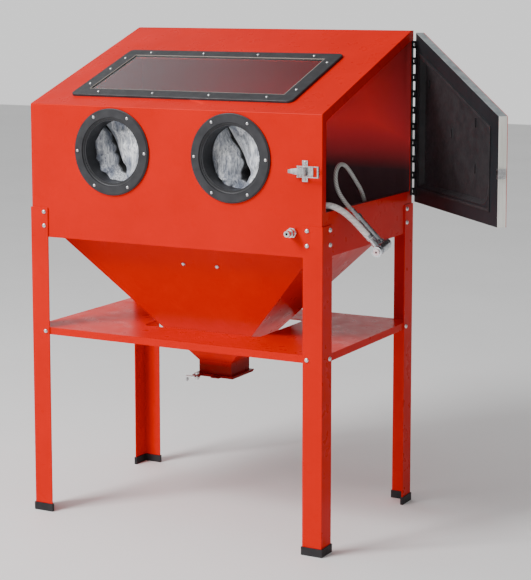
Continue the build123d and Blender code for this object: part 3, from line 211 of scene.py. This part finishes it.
# Inside the cabinet the colour is painted light and shade: lit high up, in painted shade that is darkest low
# down and towards the door. The coat is also rougher there, dulled by abrasive dust.
slope_low, slope_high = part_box("front_top_panel")
SLOPE_RISE = 0.2
SLOPE_RUN = 0.559
SLOPE = math.atan2(SLOPE_RISE, SLOPE_RUN)
SKIN = 0.0010
FADE = 0.0002
FRONT_TOP = 1.154
INNER_FLOOR = 0.7866
INNER_ROOF = 1.353
SPOUT_HALF = 0.070
inside = math_node(red, "MULTIPLY", *[
    spread(red, math_node(red, "ABSOLUTE", along(red, axis)), 1, 0, half - SKIN - FADE, half - SKIN + FADE)
    for axis, half in (((1, 0, 0), slope_high.x), ((0, 1, 0), slope_high.y))
])
slope_out = (0, -math.sin(SLOPE), math.cos(SLOPE))
slope_at = Vector(slope_out).dot(Vector((0, slope_low.y, FRONT_TOP)))
under_slope = spread(red, along(red, slope_out), 1, 0, slope_at - 0.0014, slope_at - SKIN)
inside = math_node(red, "MULTIPLY", inside, under_slope)
for limit, sign in ((INNER_FLOOR, 1), (-INNER_ROOF, -1)):
    within = spread(red, along(red, (0, 0, sign)), 0, 1, limit - 0.0003, limit + 0.0003)
    inside = math_node(red, "MULTIPLY", inside, within)
# Painted shade: none high up, growing low down and towards the door
inside_painted_shade = math_node(
    red, "MAXIMUM",
    spread(red, along(red, (0, 0, 1)), 1, 0, 0.96, 1.10),
    spread(red, along(red, (1, 0, 0.25)), 0, 0.8, 0.60, 0.80),
)
# Painted light and shade: brighter than the outer coat high up, near black where the shade is painted
inside_painted_light_and_shade = mix(red, inside_painted_shade, (0.90, 0.040, 0.045), (0.052, 0.024, 0.026))
outer_color = ramp(red, noise_node(red, 6, 4), tint(RED, 0.93), tint(RED, 1.05))
# The spout under the shelf is painted darker, as painted shade, from its mouth up to the hopper
spout_painted_shade = math_node(
    red, "MULTIPLY",
    spread(red, along(red, (0, 0, 1)), 1, 0, 0.415, 0.445),
    spread(red, math_node(red, "ABSOLUTE", along(red, (1, 0, 0))), 1, 0, SPOUT_HALF - 0.004, SPOUT_HALF),
)
# Base colour: the outer coat, with painted light and shade inside and painted shade on the spout
shade(red, "Base Color", mix(red, spout_painted_shade, mix(red, inside, outer_color, inside_painted_light_and_shade), tint(RED, 0.32)))
patchy = spread(red, noise_node(red, 25, 3), 0.25, 0.37)
shade(red, "Roughness", math_node(red, "ADD", patchy, math_node(red, "MULTIPLY", inside, 0.25)))

black = paint("black_paint", DARK, rough=0.38, specular=0.12, peel=0.08)
slots["black_paint"] = black
# The door's free edge is painted near white: bare sheet, brightened as a painted highlight
DOOR_ALONG = (math.sqrt(0.5), -math.sqrt(0.5), 0)
HINGE = Vector((0.455, 0.289, 0))
DOOR_LENGTH = 0.573
DOOR_CORNER_UP = 1.152
EDGE_SKIN = 0.0012
edge_at = Vector(DOOR_ALONG).dot(HINGE) + DOOR_LENGTH
edge = spread(black, along(black, DOOR_ALONG), 0, 1, edge_at - EDGE_SKIN, edge_at - EDGE_SKIN / 2)
brushed = noise_node(black, 40, 5, 0.6, (1, 1, 0.08))
# Painted highlight: the bare edge's colour pushed to near white
bare_edge_and_highlight = ramp(black, brushed, (0.70, 0.69, 0.62), (1.0, 0.99, 0.94))
black_color = ramp(black, noise_node(black, 6, 4), tint(DARK, 0.9), tint(DARK, 1.2))
# Its sloping top edge is painted greyer, a painted reflection where the glossy edge catches light
DOOR_RISE = 0.196
DOOR_RUN = 0.565
DOOR_FALL = math.atan2(DOOR_RISE, DOOR_RUN)
door_up = (DOOR_ALONG[0] * math.sin(DOOR_FALL), DOOR_ALONG[1] * math.sin(DOOR_FALL), math.cos(DOOR_FALL))
door_corner = HINGE + Vector(DOOR_ALONG) * DOOR_LENGTH + Vector((0, 0, DOOR_CORNER_UP))
top_at = Vector(door_up).dot(door_corner)
top = spread(black, along(black, door_up), 0, 1, top_at - EDGE_SKIN, top_at - EDGE_SKIN / 2)
top_edge_painted_reflection = ramp(black, noise_node(black, 30, 5, 0.6), (0.17, 0.19, 0.20), (0.30, 0.33, 0.34))
# Base colour: black paint, with a painted reflection on the top edge and a painted highlight on the free edge
shade(black, "Base Color", mix(black, edge, mix(black, top, black_color, top_edge_painted_reflection), bare_edge_and_highlight))

rubber = material("black_rubber", (0.020, 0.019, 0.021), 0.55, Specular_IOR_Level=0.25)
rubber_color = ramp(rubber, noise_node(rubber, 30, 5), (0.015, 0.014, 0.016), (0.027, 0.025, 0.027))
shade(rubber, "Base Color", rubber_color)
shade(rubber, "Roughness", spread(rubber, noise_node(rubber, 90, 4), 0.48, 0.62))
bump(rubber, (noise_node(rubber, 700, 3), 0.15, 0.0004), (noise_node(rubber, 14, 2), 0.12, 0.003))
slots["black_rubber"] = rubber

plastic = material("black_plastic", (0.03, 0.03, 0.033), 0.45, Specular_IOR_Level=0.3)
shade(plastic, "Roughness", spread(plastic, noise_node(plastic, 120, 4), 0.36, 0.5))
# A pale line is painted along the window frame's inner edges, a painted highlight where their bevel catches
# light
HIGHLIGHT_FROM = 0.0042
inner_edge_highlight = spread(plastic, along(plastic, slope_out), 0, 1, slope_at + HIGHLIGHT_FROM, slope_at + HIGHLIGHT_FROM + 2 * FADE)
slope_along = (0, math.cos(SLOPE), math.sin(SLOPE))
WINDOW_X = -0.012
WINDOW_UP = 0.228
HIGHLIGHT_HALF_X = 0.3046
HIGHLIGHT_HALF_UP = 0.1266
mid_at = Vector(slope_along).dot(Vector((0, slope_low.y, FRONT_TOP))) + WINDOW_UP
for direction, middle, half in (((1, 0, 0), WINDOW_X, HIGHLIGHT_HALF_X), (slope_along, mid_at, HIGHLIGHT_HALF_UP)):
    off = math_node(plastic, "ABSOLUTE", math_node(plastic, "SUBTRACT", along(plastic, direction), middle))
    inner_edge_highlight = math_node(plastic, "MULTIPLY", inner_edge_highlight, spread(plastic, off, 1, 0, half, half + 0.0003))
plastic_color = ramp(plastic, noise_node(plastic, 40, 5), (0.022, 0.022, 0.025), (0.038, 0.038, 0.042))
# Painted highlight in pale warm grey along the frame's inner edges
shade(plastic, "Base Color", mix(plastic, inner_edge_highlight, plastic_color, (0.30, 0.26, 0.23)))
bump(plastic, (noise_node(plastic, 1100, 3), 0.25, 0.0003))
slots["black_plastic"] = plastic


def metal(name, low, high, rough, grain=(1, 1, 1), fine=600):
    """Bare or plated metal with handling marks and a fine grain."""
    made = material(name, high, rough, metallic=1.0)
    shade(made, "Base Color", ramp(made, noise_node(made, 80, 5, 0.6), low, high))
    shade(made, "Roughness", spread(made, noise_node(made, 60, 4, 0.6), rough - 0.05, rough + 0.10))
    bump(made, (noise_node(made, fine, 3, 0.6, grain), 0.06, 0.0002))
    return made


slots["zinc_steel"] = metal("zinc_steel", (0.5, 0.5, 0.52), (0.85, 0.85, 0.84), 0.26, (1, 1, 4))
slots["gun_alloy"] = metal("gun_alloy", (0.42, 0.44, 0.47), (0.8, 0.82, 0.85), 0.24)

glass = material("window_glass", (0.84, 0.90, 1.0), 0.03, Transmission_Weight=1.0, IOR=1.5)
shade(glass, "Roughness", spread(glass, noise_node(glass, 9, 5, 0.65), 0.01, 0.09, 0.45, 0.8))
bump(glass, (noise_node(glass, 4, 1), 0.02, 0.002))
slots["window_glass"] = glass

ceramic = material("ceramic", (0.86, 0.66, 0.68), 0.22, Coat_Weight=0.4)
ceramic_color = ramp(ceramic, noise_node(ceramic, 220, 4), (0.74, 0.52, 0.55), (0.92, 0.78, 0.79))
shade(ceramic, "Base Color", ceramic_color)
bump(ceramic, (noise_node(ceramic, 900, 3), 0.15, 0.0003))
slots["ceramic"] = ceramic

lens = material("lamp_lens", (0.86, 0.87, 0.85), 0.35, Transmission_Weight=0.55)
shade(lens, "Roughness", spread(lens, noise_node(lens, 200, 3), 0.28, 0.45))
bump(lens, (noise_node(lens, 300, 2, 0.5, (1, 0.1, 0.1)), 0.3, 0.001))
slots["lamp_lens"] = lens


def weave(made, threads, strength, distance):
    """Crossing threads from two waves over the UV map, as one layer of bump."""
    tree = made.node_tree
    fields = []
    for direction in ("X", "Y"):
        wave = tree.nodes.new("ShaderNodeTexWave")
        wave.wave_type = "BANDS"
        wave.bands_direction = direction
        wave.inputs["Scale"].default_value = threads
        wave.inputs["Distortion"].default_value = 0.6
        wave.inputs["Detail"].default_value = 1.0
        tree.links.new(place(made, "UV"), wave.inputs["Vector"])
        fields.append(wave.outputs["Fac"])
    return math_node(made, "MULTIPLY", *fields), strength, distance


cloth = material("glove_fabric", (0.45, 0.49, 0.57), 0.85, Sheen_Weight=0.35, Sheen_Roughness=0.4)
slots["glove_fabric"] = cloth
upright = noise_node(cloth, 230, 6, 0.75, (1, 1, 0.10), distortion=0.5)
streaks = ramp(cloth, upright, (0.26, 0.28, 0.34), (1.0, 1.0, 1.0), 0.38, 0.58)
cloudy = noise_node(cloth, 26, 4, 0.6, (1, 1, 0.5))
patches = ramp(cloth, cloudy, (0.34, 0.37, 0.44), (0.98, 0.99, 1.0), 0.38, 0.56)
worn = mix(cloth, 1.0, patches, streaks, "MULTIPLY")
# Past the slit the sleeve is dark, as little light gets into the cabinet
throat = spread(cloth, along(cloth, (0, 1, 0), "UV"), 0, 1, 0.675, 0.72)
shade(cloth, "Base Color", mix(cloth, throat, worn, (0.012, 0.012, 0.014)))
bump(
    cloth,
    weave(cloth, 60, 0.35, 0.0006),
    (noise_node(cloth, 150, 5, 0.7), 0.5, 0.0015),
    (noise_node(cloth, 22, 4, 0.6), 0.5, 0.006),
)


def hose_material(name, low, high, rough, turns, transmission):
    """Hose wall with a braid or spiral seen through it, on the tube's own UV map."""
    made = material(name, high, rough, Transmission_Weight=transmission)
    tree = made.node_tree
    wave = tree.nodes.new("ShaderNodeTexWave")
    wave.bands_direction = "DIAGONAL"
    wave.inputs["Scale"].default_value = turns
    wave.inputs["Distortion"].default_value = 0.8
    tree.links.new(place(made, "UV"), wave.inputs["Vector"])
    shade(made, "Base Color", ramp(made, wave.outputs["Fac"], low, high, 0.1, 0.6))
    shade(made, "Roughness", spread(made, noise_node(made, 120, 4), rough - 0.08, rough + 0.12))
    bump(made, (wave.outputs["Fac"], 0.35, 0.0005), (noise_node(made, 300, 3), 0.1, 0.0004))
    return made


slots["air_hose_rubber"] = hose_material(
    "air_hose_rubber", (0.32, 0.32, 0.31), (0.62, 0.61, 0.58), rough=0.35, turns=3.0, transmission=0.0
)
slots["suction_hose_vinyl"] = hose_material(
    "suction_hose_vinyl", (0.86, 0.80, 0.79), (0.98, 0.95, 0.93), rough=0.2, turns=2.0, transmission=0.15
)


# ------------------------------------------------------------------ cords
def link(obj):
    """Put an object in the scene."""
    bpy.context.scene.collection.objects.link(obj)
    return obj


def nurbs_path(points, name):
    """The smooth line through a route's control points, evenly sampled."""
    curve = bpy.data.curves.new(name, "CURVE")
    curve.dimensions = "3D"
    curve.resolution_u = 24
    spline = curve.splines.new("NURBS")
    spline.points.add(len(points) - 1)
    for knot, point in zip(spline.points, points):
        knot.co = (*(c * MM for c in point), 1)
    spline.order_u = 3
    spline.use_endpoint_u = True
    holder = link(bpy.data.objects.new(name, curve))
    bpy.context.view_layer.update()
    mesh = bpy.data.meshes.new_from_object(holder)
    line = [v.co.copy() for v in mesh.vertices]
    bpy.data.objects.remove(holder)
    bpy.data.meshes.remove(mesh)
    return line


def even(line, step):
    """The same line as points a fixed step apart, with its true ends."""
    out = [line[0]]
    need = step
    for a, b in zip(line, line[1:]):
        length = (b - a).length
        gone = 0.0
        while length - gone >= need:
            gone += need
            out.append(a.lerp(b, gone / length))
            need = step
        need -= length - gone
    if (out[-1] - line[-1]).length < step * 0.5:
        out.pop()
    return out + [line[-1]]


# Once round a hose, in radii, as its UV map takes it
UV_TURN = 6.28


def tube(name, line, radius, sides=20, profile=None):
    """A tube mesh along a line, with a UV map that runs round it and along it in hose diameters."""
    mesh = bpy.data.meshes.new(name)
    bm = bmesh.new()
    uv = bm.loops.layers.uv.new("UVMap")
    side = (line[1] - line[0]).orthogonal().normalized()
    rings = []
    run = 0.0
    runs = []
    for i, point in enumerate(line):
        ahead = line[min(i + 1, len(line) - 1)] - line[max(i - 1, 0)]
        ahead.normalize()
        side = (side - ahead * side.dot(ahead)).normalized()
        up = ahead.cross(side)
        if i:
            run += (point - line[i - 1]).length
        runs.append(run)
        ring = []
        for k in range(sides):
            turn = 2 * math.pi * k / sides
            r = radius * (1 + (profile(run, turn) if profile else 0.0))
            ring.append(bm.verts.new(point + (side * math.cos(turn) + up * math.sin(turn)) * r))
        rings.append(ring)
    for i, (a, b) in enumerate(zip(rings, rings[1:])):
        for k in range(sides):
            n = (k + 1) % sides
            face = bm.faces.new((a[k], a[n], b[n], b[k]))
            face.smooth = True
            corners = ((k, i), (k + 1, i), (k + 1, i + 1), (k, i + 1))
            for loop, (column, row) in zip(face.loops, corners):
                loop[uv].uv = (column / sides, runs[row] / (radius * UV_TURN))
    bm.faces.new(list(reversed(rings[0])))
    bm.faces.new(rings[-1])
    bmesh.ops.recalc_face_normals(bm, faces=bm.faces)
    bm.to_mesh(mesh)
    bm.free()
    return link(bpy.data.objects.new(name, mesh))


# The gun and the hoses' fittings, in mm as in the CAD
GUN_BODY = Vector((550.0, -127.0, 805.0))
GUN_END = Vector((465.0, -149.0, 900.0))
gun_h = (GUN_END - GUN_BODY).normalized()
aim = Vector((0.12, -0.98, -0.17))
gun_n = (aim - gun_h * aim.dot(gun_h)).normalized()
media_end = GUN_BODY + gun_n * 32 + gun_h * 34
pickup_end = Vector((120, -202, 762))
pickup_bend = Vector((41, -201.96, 755))

air_route = [
    GUN_END, GUN_END + gun_h * 30,
    (435, -170, 953), (431, -172, 982), (428, -158, 1004), (426, -132, 1014), (425, -102, 1009),
    (424, -70, 990), (424, -28, 957), (424, 5, 929), (424, 29, 893), (424, 29, 853), (421, 5, 824),
    (414, -38, 812), (402, -88, 809), (388, -140, 813), (378, -182, 825), (370, -213, 840),
    (367, -238, 848), (367, -262, 848),
]
suction_route = [
    media_end, media_end + gun_h * 36,
    (489, -184, 876), (470, -204, 900), (447, -223, 915.5), (421, -236, 916), (393, -241, 901),
    (367, -236, 879), (345, -226, 853), (325, -214, 826), (299, -203, 800), (263, -199, 781),
    (220, -201, 770), pickup_end + (pickup_end - pickup_bend).normalized() * 48, pickup_end,
]


def hose(name, route, diameter, node, slot_name, step, profile=None):
    """A hose from the cabinet's fitting to the gun, standing for its CAD solid."""
    line = even(nurbs_path(list(reversed(route)), name + "_line"), step)
    made = tube(name, line, diameter / 2, profile=profile)
    made.data.materials.append(slots[slot_name])
    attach(made, "cabinet")
    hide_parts(node)
    return made


def ribbed(run, turn):
    """A shallow spiral rib, one turn in 5 mm."""
    return 0.008 * math.sin(2 * math.pi * run / 0.005 + turn)


hose(
    "air_hose_flex", air_route, diameter=0.011, node="air_hose",
    slot_name="air_hose_rubber", step=0.002,
)
hose(
    "suction_hose_flex", suction_route, diameter=0.017, node="suction_hose",
    slot_name="suction_hose_vinyl", step=0.00125, profile=ribbed,
)


# ------------------------------------------------------------------ CAD nodes
node_slot = {s["node"]: s["material_slot"] for s in frame["record"]["subparts"]}
for name, obj in nodes.items():
    obj.data.materials.clear()
    obj.data.materials.append(slots[node_slot[name]])


# ------------------------------------------------------------------ gloves
# A sleeve's mesh: columns round it, rows along it, the cuff's share of them, and the slit's share of the rest
AROUND = 220
LENGTHWISE = 120
CUFF = 0.12
SHUT = 0.66
# In metres: the cuff's radius, reach over the port and length, the depth past the slit, and the cloth
RIM = 0.0965
CUFF_REACH = 0.036
CUFF_LENGTH = 0.034
INNER_DEPTH = 0.095
CLOTH_THICK = 0.0012
# In metres: how far behind the port the lips meet, how much deeper the right one lies, and how far the cloth
# between the rim and the slit bulges forward
LIP_DEPTH = 0.036
LIP_STEP = 0.010
LOBE = 0.013
# In the cuff's radii: the slit's half height, half width and sway, and how far down its wedge opens and fades
SLIT_TALL = 0.86
SLIT_WIDE = 0.028
SLIT_SWAY = 0.10
WEDGE_DOWN = 0.58
WEDGE_FADE = 0.22
# In metres: the depth of the pleats, creases and hem; in radii, how far down the hem runs
PLEAT = 0.0085
CREASE = 0.0085
HEM = 0.0045
HEM_DOWN = 0.66


def sleeve(name, node, port_node, top_x, bottom_x, wedge, seed):
    """A long cloth sleeve that hangs shut behind its port: two lips that meet in a slanting slit."""
    low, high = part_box(port_node)
    cx = (low.x + high.x) / 2
    cz = (low.z + high.z) / 2
    back = high.y
    mesh = bpy.data.meshes.new(name)
    bm = bmesh.new()
    uv = bm.loops.layers.uv.new("UVMap")
    rows = []
    for j in range(LENGTHWISE + 1):
        v = j / LENGTHWISE
        ring = []
        for i in range(AROUND):
            turn = 2 * math.pi * i / AROUND
            c, s = math.cos(turn), math.sin(turn)
            if v < CUFF:
                # Clamped round the outside of the port tube
                k = v / CUFF
                x, z, y = RIM * c, RIM * s, back - CUFF_REACH + CUFF_LENGTH * k
            else:
                k = (v - CUFF) / (1 - CUFF)
                fold = min(1.0, k / SHUT)
                ease = fold * fold * (3 - 2 * fold)
                lean = (1 - s) / 2
                slit_x = RIM * (top_x + (bottom_x - top_x) * lean + SLIT_SWAY * math.sin(2.8 * s + seed))
                gape = SLIT_WIDE + wedge * math.exp(-((s + WEDGE_DOWN) / WEDGE_FADE) ** 2)
                flat_x = slit_x + RIM * gape * c
                flat_z = RIM * SLIT_TALL * s
                x = RIM * c * (1 - ease) + flat_x * ease
                z = RIM * s * (1 - ease) + flat_z * ease
                bulge = LIP_DEPTH - LIP_STEP * math.tanh(-c * 3)
                y = back + 0.002 + bulge * fold ** 2.4 - LOBE * math.sin(fold * math.pi) ** 2
                if k > SHUT:
                    # Past the slit the sleeve narrows on its way in
                    deep = (k - SHUT) / (1 - SHUT)
                    y += INNER_DEPTH * deep
                    z *= 1 - 0.25 * deep
                    x *= 1 - 0.1 * deep
                # Folds drawn from the rim towards the slit, then crumples across them
                window = math.sin(math.pi * min(1.0, k / 0.9)) ** 0.7
                warp = noise.noise(Vector((x * 14 + seed, z * 14, y * 9)))
                pleat = abs(math.sin(4.5 * turn + 3.4 * warp + seed))
                flow = Vector((x * 20 + seed, z * 12, y * 14))
                crease = noise.noise(flow) + 0.7 * (0.5 - abs(noise.noise(flow * 2.1)))
                crease += 0.35 * noise.noise(flow * 4.7)
                hem = HEM * math.exp(-((z / RIM + HEM_DOWN + 0.12 * x / RIM) / 0.045) ** 2)
                push = window * (PLEAT * (pleat - 0.6) + CREASE * crease - hem)
                x -= c * push * 0.5
                z -= s * push * 0.5
                y += push
            ring.append(bm.verts.new((cx + x, y, cz + z)))
        rows.append(ring)
    for j, (a, b) in enumerate(zip(rows, rows[1:])):
        for i in range(AROUND):
            n = (i + 1) % AROUND
            face = bm.faces.new((a[i], a[n], b[n], b[i]))
            face.smooth = True
            corners = ((i, j), (i + 1, j), (i + 1, j + 1), (i, j + 1))
            for loop, (column, row) in zip(face.loops, corners):
                loop[uv].uv = (column / AROUND * 3, row / LENGTHWISE)
    bm.to_mesh(mesh)
    bm.free()
    made = link(bpy.data.objects.new(name, mesh))
    thick = made.modifiers.new("thickness", "SOLIDIFY")
    thick.thickness = CLOTH_THICK
    thick.offset = 1
    made.data.materials.append(cloth)
    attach(made, "cabinet")
    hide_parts(node)
    return made


for hand, *slit in (("left", -1.02, 0.08, 0.09, 0.4), ("right", -0.56, 0.06, 0.17, 1.9)):
    sleeve("glove_sleeve_" + hand, "glove_" + hand, "glove_port_" + hand, *slit)


# ------------------------------------------------------------------ stage and light
FLOOR = 14.0
floor_mesh = bpy.data.meshes.new("floor")
corners = [(-FLOOR, -FLOOR, 0), (FLOOR, -FLOOR, 0), (FLOOR, FLOOR, 0), (-FLOOR, FLOOR, 0)]
floor_mesh.from_pydata(corners, [], [(0, 1, 2, 3)])
floor = link(bpy.data.objects.new("floor", floor_mesh))
floor_material = material("floor", (0.86, 0.86, 0.86), 0.6)
floor_color = ramp(floor_material, noise_node(floor_material, 1.2, 3), (0.84, 0.84, 0.84), (0.88, 0.88, 0.88))
shade(floor_material, "Base Color", floor_color)
floor_mesh.materials.append(floor_material)

world = bpy.data.worlds.new("world")
world.use_nodes = True
tree = world.node_tree
where = tree.nodes.new("ShaderNodeTexCoord")
split = tree.nodes.new("ShaderNodeSeparateXYZ")
tree.links.new(where.outputs["Generated"], split.inputs["Vector"])


def sky_step(axis, start, end, low, high):
    """A smooth step in the sky's brightness along one axis of the direction."""
    result = spread(world, split.outputs[axis], low, high, start, end)
    result.node.interpolation_type = "SMOOTHSTEP"
    return result


# Bright all round but dim on the door side, with a dark flag high up behind on the right
flag = math_node(
    world, "MULTIPLY", sky_step("Z", 0.22, 0.45, 0.0, 1.0), sky_step("Y", 0.15, 0.5, 0.0, 1.0)
)
flag = math_node(world, "MULTIPLY", flag, sky_step("X", -0.66, -0.40, 0.0, 0.93))
unflagged = math_node(world, "SUBTRACT", 1.0, flag)
sky = math_node(world, "MULTIPLY", sky_step("X", -0.1, 0.55, 1.05, 0.33), unflagged)
tree.links.new(sky, tree.nodes["Background"].inputs["Strength"])
tree.nodes["Background"].inputs["Color"].default_value = (1, 1, 1, 1)
bpy.context.scene.world = world


def softbox(name, where, at, size, power):
    """A rectangular light that points at a place."""
    light = bpy.data.lights.new(name, "AREA")
    light.shape = "RECTANGLE"
    light.size, light.size_y = size
    light.energy = power
    lamp = link(bpy.data.objects.new(name, light))
    lamp.location = where
    lamp.rotation_euler = (Vector(at) - Vector(where)).to_track_quat("-Z", "Y").to_euler()
    return lamp


softbox("key", where=(-2.3, -3.7, 4.3), at=(0, 0, 0.9), size=(2.0, 2.0), power=380)
# Stands in for the light that comes in at the window; the camera can't see it
chamber = softbox(
    "chamber", where=(-0.10, -0.16, 1.12), at=(0.10, 0.27, 1.20), size=(0.4, 0.12), power=0.25
)
chamber.visible_camera = False
chamber.visible_glossy = False
